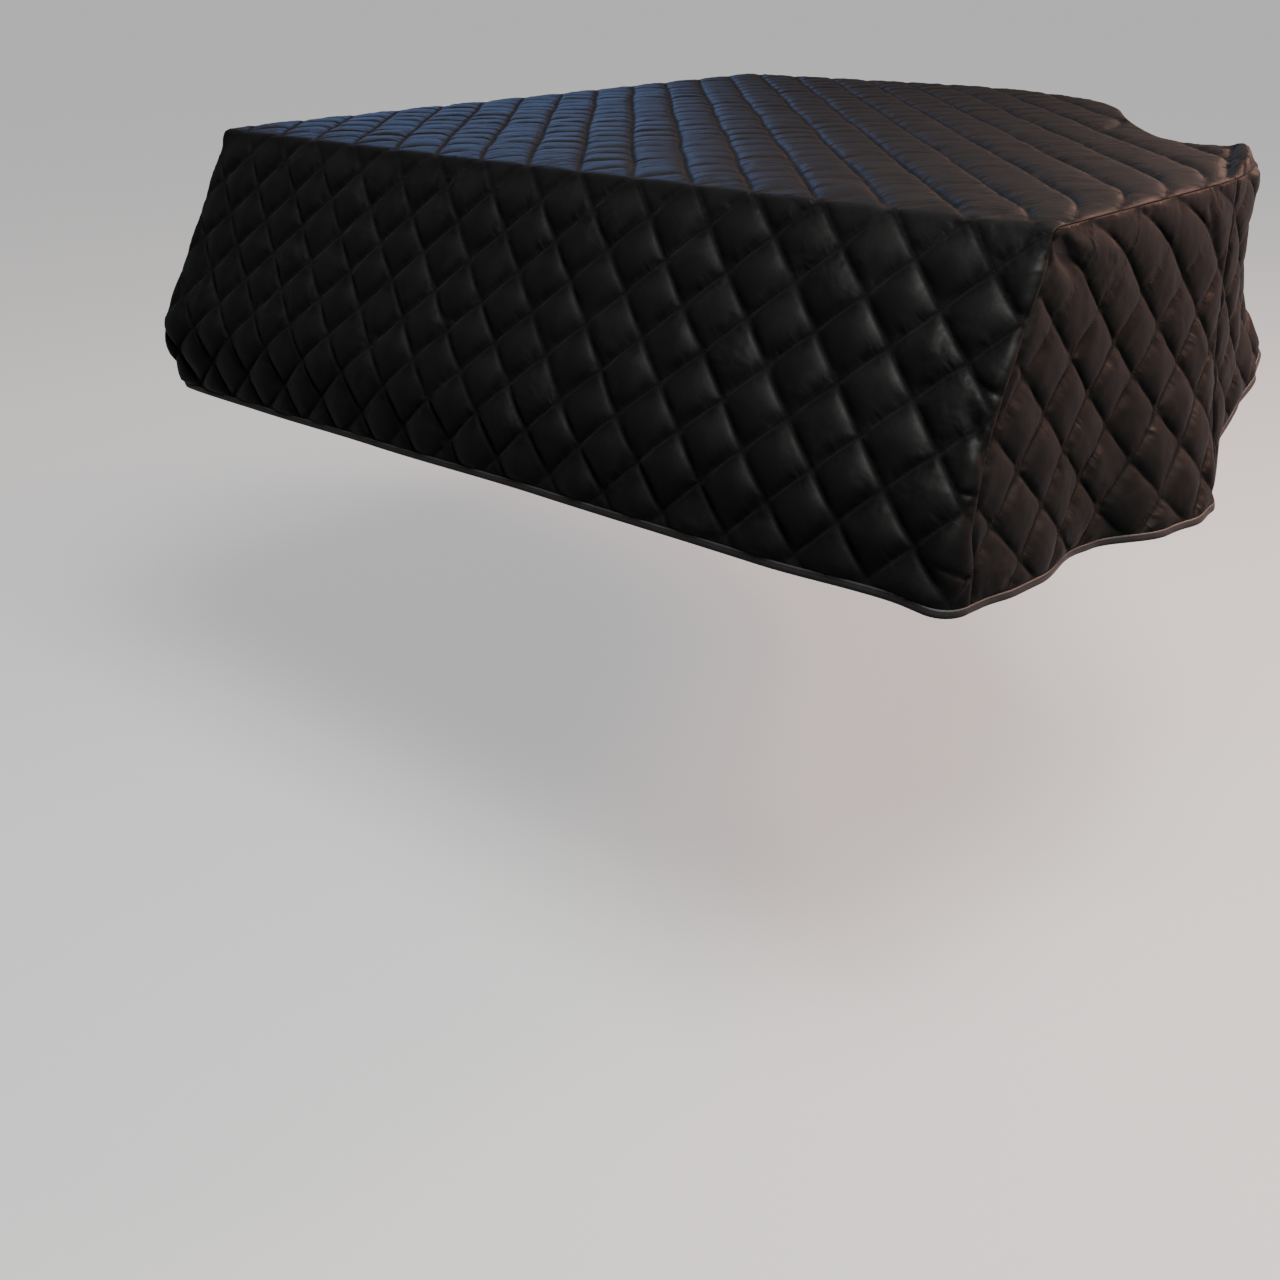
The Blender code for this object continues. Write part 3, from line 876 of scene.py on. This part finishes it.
def newMaterial(name):
    # a material, the board for its nodes, and its shader
    material = bpy.data.materials.new(name)
    material.use_nodes = True
    board = Board(material.node_tree)
    return material, board, material.node_tree.nodes["Principled BSDF"]


def connect(board, shader, **inputs):
    for label, value in inputs.items():
        board.tree.links.new(value.socket, shader.inputs[label.replace("_", " ")])


def setAll(shader, values):
    for label, value in values.items():
        shader.inputs[label].default_value = value


clothLook = {
    "black": (0.0007, 0.0007, 0.0007, 1),      # crowns of the diamonds
    "paintedShadeInLines": (0.0002, 0.0002, 0.0002, 1),  # painted shade, down in the stitched lines and at the seams where the padding thins
    "worn": (0.0014, 0.0014, 0.0014, 1),
    "wornShare": 0.35,
    "rough": (0.46, 0.62),
    "dullLine": (0.0055, 0.0008, 0.30),    # dull from here to there beside a stitched line, and how much
    "dullSeam": (0.35, 0.0, 0.20),         # the same where the padding thins out
    "threadCount": 1150,                   # threads to the metre
    # how fine each pattern is, its detail, and how far it is twisted
    "patterns": {
        "patches": (3.2, 2.0), "handled": (19.0, 4.0, 0.6), "grain": (160.0, 3.0),
        "fineCreases": (75.0, 4.0, 0.3), "crumples": (42.0, 1.5, 0.2),
        "crumpled": (8.0, 1.0), "puckered": (9.0, 1.0),      # where the cloth is so
    },
    # strength of each bump, and how high it stands
    "weave": (0.30, 0.0002),
    "fineCreases": (0.35, 0.0009),
    "crumples": (0.8, 0.0035),
    "puckers": (0.8, 0.0075),
    "puckerCount": (36, 12),               # to the metre, side by side and end to end
    "puckerReach": (0.014, 0.064, 0.022),  # first lines in front, the same on the top, second lines
    "fixed": {"Sheen Weight": 0.0024, "Sheen Roughness": 0.42, "Specular IOR Level": 0.024,
              "Sheen Tint": (0.80, 0.85, 1.0, 1)},
}


def puckersAcross(board, look, u, v, awayFirst, awaySecond):
    # short creases across the stitched lines, which on the top run right over a strip
    onTop = board.range(v, -0.01, 0.03)
    inFront, onStrip, besideSecond = look["puckerReach"]
    close, long = look["puckerCount"]

    def puckers(along, across, away, reach):
        where = board.wire("Vector", "ShaderNodeCombineXYZ", None, {"X": along * close, "Y": across * long})
        return (board.noise(where, 1.0, 1.5, 0.5) - 0.5) * board.range(away, reach, 0.0)

    first = puckers(u - v, u + v, awayFirst, onTop * (onStrip - inFront) + inFront)
    second = puckers(u + v, u - v, awaySecond, besideSecond)
    return first * (onTop * 0.5 + 0.5) + second * (1 - onTop * 0.6)


def clothMaterial(look):
    material, board, shader = newMaterial("blackQuiltedCloth")
    flat = board.wire("UV", "ShaderNodeUVMap", {"uv_map": "flat"})
    puff = board.wire("Fac", "ShaderNodeAttribute", {"attribute_name": "puff"})
    fromStitching = board.wire("Vector", "ShaderNodeAttribute", {"attribute_name": "fromStitching"})
    u, v = board.apart(flat)[:2]
    awayFirst, awaySecond = board.apart(fromStitching)[:2]

    pattern = {name: board.noise(flat, *scales) for name, scales in look["patterns"].items()}
    # painted shade: the colour darkens where the padding is low, in the stitched lines and at the seams
    body = board.mix(board.range(puff, 0.0, 0.85), look["paintedShadeInLines"], look["black"])
    worn = board.range(pattern["handled"], 0.45, 0.75) * look["wornShare"]
    colour = board.mix(worn, body, look["worn"])

    smoothest, roughest = look["rough"]
    far, near, dullest = look["dullLine"]
    dull = board.range(board.math("MINIMUM", awayFirst, awaySecond), far, near) * dullest
    padded, thin, dullest = look["dullSeam"]
    dull = dull + board.range(puff, padded, thin) * dullest
    rough = pattern["patches"] * 0.5 + pattern["handled"] * 0.5
    roughness = smoothest + (roughest - smoothest) * rough + (pattern["grain"] - 0.5) * 0.06 + dull

    turns = look["threadCount"] * math.pi
    warp, weft = (board.math("ABSOLUTE", board.math("SINE", along * turns)) for along in (u, v))
    weave = board.math("MAXIMUM", warp, weft)
    crumples = pattern["crumples"] * board.range(pattern["crumpled"], 0.50, 0.70)
    puckers = puckersAcross(board, look, u, v, awayFirst, awaySecond)
    puckers = puckers * board.range(pattern["puckered"], 0.36, 0.58, 0.25, 1.0) * pattern["fineCreases"]
    normal = board.bump(*look["weave"], weave)
    normal = board.bump(*look["fineCreases"], pattern["fineCreases"], normal)
    normal = board.bump(*look["crumples"], crumples, normal)
    normal = board.bump(*look["puckers"], puckers, normal)
    connect(board, shader, Base_Color=colour, Roughness=roughness, Normal=normal)
    setAll(shader, look["fixed"])
    return material


threadLook = {
    "black": (0.0006, 0.0006, 0.0006, 1),
    "linty": (0.0018, 0.0018, 0.0018, 1),
    "rough": 0.42, "rougher": 0.2,         # and how much rougher with lint
    "lint": (210.0, 2.0),                  # how fine it is, and its detail
    "fixed": {"Specular IOR Level": 0.03},
}


def threadMaterial(look):
    material, board, shader = newMaterial("blackThread")
    place = board.wire("Object", "ShaderNodeTexCoord")
    lint = board.noise(place, *look["lint"], dimensions="3D")
    colour = board.mix(lint, look["black"], look["linty"])
    connect(board, shader, Base_Color=colour, Roughness=look["rough"] + lint * look["rougher"])
    setAll(shader, look["fixed"])
    return material


tapeLook = {
    "black": (0.0018, 0.0018, 0.0018, 1),
    "rubbed": (0.0048, 0.0046, 0.0048, 1),
    "rough": 0.5, "rougher": 0.15,
    "rub": (46.0, 4.0), "rib": (900.0, 1.0),     # how fine each is, and its detail
    "ribs": (0.5, 0.0004),                 # bumps, as on the cloth
    "dents": (0.5, 0.0015),
    "fixed": {"Sheen Weight": 0.006, "Sheen Roughness": 0.4, "Specular IOR Level": 0.05},
}


def tapeMaterial(look):
    material, board, shader = newMaterial("blackBindingTape")
    place = board.wire("Object", "ShaderNodeTexCoord")
    rub = board.noise(place, *look["rub"], dimensions="3D")
    ribs = board.noise(place, *look["rib"], dimensions="3D")
    colour = board.mix(rub, look["black"], look["rubbed"])
    normal = board.bump(*look["dents"], rub, board.bump(*look["ribs"], ribs))
    connect(board, shader, Base_Color=colour, Roughness=look["rough"] + rub * look["rougher"], Normal=normal)
    setAll(shader, look["fixed"])
    return material


cloth = clothMaterial(clothLook)
thread = threadMaterial(threadLook)
tape = tapeMaterial(tapeLook)
print("materials made")


def sideOf(side):
    return lambda along, up: sidePoint(side, along, up)


pieces = {
    "body": {
        "name": "quiltedTopAndFront", "node": "body_panel", "outline": bodyOutline(), "place": bodyPoint,
        "quilt": makeQuilt(
            (0.7516, -0.004), math.radians(-0.68), seed=1.3, fine=13, seamLow=0.0022, seamRise=0.010,
            seamTaut=0.65, gather=0.0010, puff=(0.0084, 0.0060), sharp=(2.2, 3.6), groove=(0.0014, 0.0012),
            taut=(
                (-0.80, 0.0, 0.80, 0.0, 0.035, 0.18),
                (-0.80, 0.85, 0.80, 0.85, 0.60, 0.75),
                (-0.765, -0.02, -0.79, -0.42, 0.050, 0.40),
            ),
            fade=(0.22, 0.60, 0.03, -0.03), drawn=((0, halfWidth, 0.085, 0.058, -0.02, 0.62),),
            folds=(
                # pulls into the treble seam of the front
                (0.766, -0.100, 0.722, -0.086, -0.0030, 0.0045, 0.8),
                (0.766, -0.184, 0.700, -0.160, -0.0055, 0.0045, 0.8),
                (0.768, -0.262, 0.722, -0.196, -0.0080, 0.0080, 0.7),
                (0.768, -0.286, 0.726, -0.278, -0.0050, 0.0040, 0.8),
                (0.768, -0.374, 0.722, -0.356, -0.0040, 0.0040, 0.8),
                (0.766, -0.150, 0.742, -0.120, 0.0016, 0.0060, 0.8),
                (0.766, -0.204, 0.722, -0.190, 0.0016, 0.0050, 0.8),
                # soft edge along the fold
                (-0.800, -0.004, 0.800, -0.004, -0.0016, 0.0260, 0),
                # pucker where the front, the top and the treble side meet
                (0.757, 0.033, 0.700, 0.024, -0.0040, 0.0050, 0.8),
                (0.752, 0.018, 0.694, 0.006, 0.0030, 0.0070, 0.8),
                # crease at the waist
                (0.390, 0.790, 0.345, 0.915, -0.0050, 0.0100, 0),
                # full cloth standing up over the shoulder
                (0.738, 0.420, 0.694, 0.520, -0.0060, 0.0060, 0),
                (0.700, 0.500, 0.640, 0.650, -0.0050, 0.0060, 0),
                (0.738, 0.490, 0.655, 0.666, 0.0130, 0.0200, 0),
            ),
        ),
    },
    "treble": {
        "name": "quiltedTrebleSide", "node": "treble_side_panel",
        "outline": sideOutline(1, 0.0, shape["backSeam"]), "place": sideOf(1),
        "quilt": makeQuilt(
            (0.018, 0.0), seed=2.1, fine=26, puff=(0.0060, 0), sharp=(2.5, 0), pinch=0.0008,
            groove=(0.0012, 0.0026), grooveWide=(0.0045, 0.0085),
            depths=(1.0, 0.90), fade=(0.12, 0.12, -0.05, -0.16), drawn=((1, 0.0, 0.060, 0.042, -9, 9),),
            folds=(
                (0.016, -0.018, 0.064, -0.074, -0.0100, 0.0120, 0.8),
                (0.004, -0.003, 0.076, -0.030, 0.0030, 0.0070, 0.6),
                (0.350, -0.020, 0.410, -0.100, -0.0025, 0.0060, 0.8),
            ),
        ),
    },
    "bentside": {
        "name": "quiltedBentside", "node": "bentside_panel",
        "outline": sideOutline(1, shape["backSeam"], spineStarts), "place": sideOf(1),
        "quilt": makeQuilt(
            (0.018, 0.0), seed=3.7, fine=18, depths=(1.0, 0.8), drawn=((1, 0.0, 0.060, 0.020, -9, 9),),
            folds=((0.520, -0.020, 0.700, -0.018, 0.0040, 0.0260, 0),),
        ),
    },
    "spine": {
        "name": "quiltedSpineSide", "node": "spine_side_panel",
        "outline": sideOutline(-1, spineStarts, edgeLength, (1, 1)), "place": sideOf(-1),
        "quilt": makeQuilt(
            (0.018, 0.0), seed=5.2, fine=18, drawn=((1, 0.0, 0.050, 0.012, -9, 9),),
        ),
    },
}

stitches = {
    "nodes": {"Spacing": 0.0042, "Length": 0.0034, "Width": 0.00055, "Thread": thread, "Seed": 3},
    "perDiamond": 10,          # points of a line along the side of a diamond
    "proud": 0.0002,           # how far the threads lie above the face
    "fromEdge": 0.004,
}
stitchNodes = stitchTree()


def stitchLines(facts, piece):
    # the stitched lines of a panel, as runs of points on its outer face
    quilt, place = piece["quilt"], piece["place"]
    low, high = facts["outline"].min(0), facts["outline"].max(0)
    corners = np.array([(x, y) for x in (low[0], high[0]) for y in (low[1], high[1])])
    cells = placeOnQuilt(corners, quilt)
    rows = []
    for column in (0, 1):
        first, last = math.floor(cells[:, column].min()), math.ceil(cells[:, column].max())
        span = np.arange(math.floor(cells[:, 1 - column].min()), math.ceil(cells[:, 1 - column].max()))
        count = stitches["perDiamond"]
        along = (span[:, None] + np.arange(count)[None] / count).ravel()
        for line in range(first, last + 1):
            run = np.full((len(along), 2), float(line))
            run[:, 1 - column] = along
            rows.append(placeOffQuilt(run, quilt))
    every = np.concatenate(rows)
    good = insideOf(facts["outline"], every)
    away = np.min([distances(tree, every[good]) for tree in facts["trees"].values()], axis=0)
    good[good] = away > stitches["fromEdge"]
    kept = every[good]
    order = np.cumsum(good) - 1
    edges, start = [], 0
    for row in rows:
        here = np.arange(start, start + len(row) - 1)
        both = here[good[here] & good[here + 1]]
        edges += [(int(order[i]), int(order[i + 1])) for i in both]
        start += len(row)
    height = quiltHeight(kept, quilt, facts["trees"])[0]
    return onCover(place, kept, height + stitches["proud"]), edges, normalsOf(place, kept)


for piece in pieces.values():
    made, facts = sewPanel(piece["name"], piece["outline"], piece["quilt"], piece["place"], cloth)
    lines = lineObject("lines", *stitchLines(facts, piece))
    rows = runTree(piece["name"].replace("quilted", "stitches"), lines, stitchNodes, stitches["nodes"])
    print(f"{rows.name}: {len(rows.data.polygons)} faces")
    for item in (made, rows):
        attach(item, "root")
    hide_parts(piece["node"])
    piece["made"] = made

binding = {
    # out from the face of the cloth, and up from its cut edge
    "section": (
        (-0.0004, 0.0084), (0.0000, 0.0060), (0.0001, 0.0030), (-0.0002, 0.0004), (-0.0012, -0.0012),
        (-0.0029, -0.0018), (-0.0046, -0.0012), (-0.0056, 0.0004), (-0.0059, 0.0030), (-0.0058, 0.0060),
        (-0.0054, 0.0084), (-0.0048, 0.0084), (-0.0045, 0.0050), (-0.0045, -0.0004), (-0.0014, -0.0004),
        (-0.0013, 0.0050), (-0.0010, 0.0084),
    ),
    "step": 0.0060,
    "cornerGap": 0.004,        # the path leaves out this much on each side of the spine's back corner
    "stitchUp": 0.0062,
    "stitches": {"Spacing": 0.0036, "Length": 0.0029, "Seed": 5},
}


def hemPath(up):
    # points of the hem all round, this far above it, and their outward directions
    points, outward = [], []
    frontHem = pieces["body"]["outline"][0][1]
    runs = [(bodyPoint, evenRun(frontHem, binding["step"]) + (0, up))]
    gap = binding["cornerGap"]
    for side, start, stop in ((1, 0.0, spineStarts - gap), (-1, spineStarts + gap, edgeLength)):
        at = np.linspace(start, stop, int((stop - start) / binding["step"]))
        runs.append((sideOf(side), np.stack([alongAt(side, at, np.ones_like(at)), up - hemDrop(at)], 1)))
    for place, flat in runs:
        points.append(place(flat[:, 0], flat[:, 1]))
        outward.append(normalsOf(place, flat))
    return np.concatenate(points), np.concatenate(outward)


def lengthOf(points):
    return float(np.linalg.norm(np.diff(points, axis=0), axis=1).sum())


def sewBinding():
    section = np.array(binding["section"])
    count = len(section)
    corners = np.stack([section[:, 0], -section[:, 1], 0 * section[:, 0]], 1)
    outline = lineObject("section", corners, [(i, (i + 1) % count) for i in range(count)])
    points, outward = hemPath(0.0)
    loop = [(i, (i + 1) % len(points)) for i in range(len(points))]
    path = lineObject("path", points, loop, outward)
    made = runTree("hemBinding", path, tapeTree(), {"Section": outline, "Tape": tape})
    bpy.data.objects.remove(outline)
    points, outward = hemPath(binding["stitchUp"])
    points = points + outward * stitches["proud"]
    path = lineObject("path", points, loop, outward)
    rows = runTree("stitchesOfBinding", path, stitchNodes, dict(stitches["nodes"], **binding["stitches"]))
    print(f"{made.name}: {len(made.data.polygons)} faces; {rows.name}: {len(rows.data.polygons)} faces")
    for item in (made, rows):
        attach(item, "root")
    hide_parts("hem_binding")
    around, wide = lengthOf(points), lengthOf(section) / 2
    print(f"tape: {around:.2f} long, {wide:.3f} wide")


sewBinding()

stage = {
    "floorZ": -0.999,          # this far below the lid
    "floorReach": 70.0,
    "floorLook": {"Base Color": (0.05, 0.05, 0.05, 1), "Roughness": 0.9, "Specular IOR Level": 0.1,
                  "Emission Color": (1, 1, 1, 1), "Emission Strength": 0.54},
    "worldLook": {"Color": (1.0, 0.975, 0.95, 1), "Strength": 0.27},
    "cameraPlace": (1.542, -1.399 + frontY, 0.273),
    "yaw": 44.39, "pitch": 19.46, "roll": -1.02,   # degrees
    "lens": 44.08,
    "shiftY": -0.110,
}

# place, target, size, power, colour, and how far the light spreads in degrees
lights = {
    "overheadSoftbox": ((1.2, -1.2, 3.4), (0.4, -0.8, -1), (3.0, 3.0), 46, (1.0, 0.99, 0.98), 180),
    "keyLight": ((1.9, -1.25, 2.8), (0.3, -0.6, 0), (1.9, 1.9), 1850, (0.99, 1.0, 0.97), 180),
    "coolWindow": ((-3.0, 1.7, 1.15), (-0.2, 0, 0), (1.6, 0.9), 30, (0.22, 0.44, 1.0), 180),
    "coolSpineLight": ((-2.7, 1.75, -0.34), (-0.76, 0.05, -0.14), (1.4, 0.5), 66, (0.80, 0.90, 1.0), 26),
    "warmBackLight": ((0.4, 3.3, 1.3), (0.4, 0, 0), (1.6, 0.7), 52, (1.0, 0.60, 0.48), 180),
    "warmLowLight": ((2.3, 2.3, -0.6), (0.77, -0.2, -0.2), (2.2, 0.9), 10, (1.0, 0.58, 0.46), 180),
    "warmSideLight": ((2.4, 2.3, 2.2), (0.5, 0.2, -0.1), (1.2, 1.2), 1600, (1.0, 0.53, 0.40), 180),
}


def aim(place, target):
    return (Vector(target) - Vector(place)).to_track_quat("-Z", "Y").to_euler()


def areaLight(name, place, target, size, power, colour, spread):
    data = bpy.data.lights.new(name, "AREA")
    data.spread = math.radians(spread)
    data.shape = "RECTANGLE"
    data.size, data.size_y = size
    data.energy = power
    data.color = colour
    made = bpy.data.objects.new(name, data)
    made.location = place
    made.rotation_euler = aim(place, target)
    made.visible_camera = False
    bpy.context.scene.collection.objects.link(made)


def buildStage():
    mesh = bpy.data.meshes.new("floor")
    reach, z = stage["floorReach"], stage["floorZ"]
    corners = [(x * reach, y * reach, z) for x, y in ((-1, -1), (1, -1), (1, 1), (-1, 1))]
    mesh.from_pydata(corners, [], [(0, 1, 2, 3)])
    floor = bpy.data.objects.new("floor", mesh)
    bpy.context.scene.collection.objects.link(floor)
    material, shader = newMaterial("paleFloor")[::2]
    setAll(shader, stage["floorLook"])
    mesh.materials.append(material)
    world = bpy.data.worlds.new("studio")
    world.use_nodes = True
    setAll(world.node_tree.nodes["Background"], stage["worldLook"])
    bpy.context.scene.world = world
    for name, light in lights.items():
        areaLight(name, *light)


def buildCamera():
    data = bpy.data.cameras.new("showAngle")
    data.lens = stage["lens"]
    data.sensor_width = 36
    data.shift_y = stage["shiftY"]
    made = bpy.data.objects.new("showAngle", data)
    yaw, pitch, roll = (math.radians(stage[key]) for key in ("yaw", "pitch", "roll"))
    made.location = stage["cameraPlace"]
    turn = Matrix.Rotation(yaw, 4, "Z") @ Matrix.Rotation(math.pi / 2 - pitch, 4, "X")
    made.rotation_euler = (turn @ Matrix.Rotation(roll, 4, "Z")).to_euler()
    bpy.context.scene.collection.objects.link(made)
    bpy.context.scene.camera = made


buildStage()
buildCamera()
print("stage set")
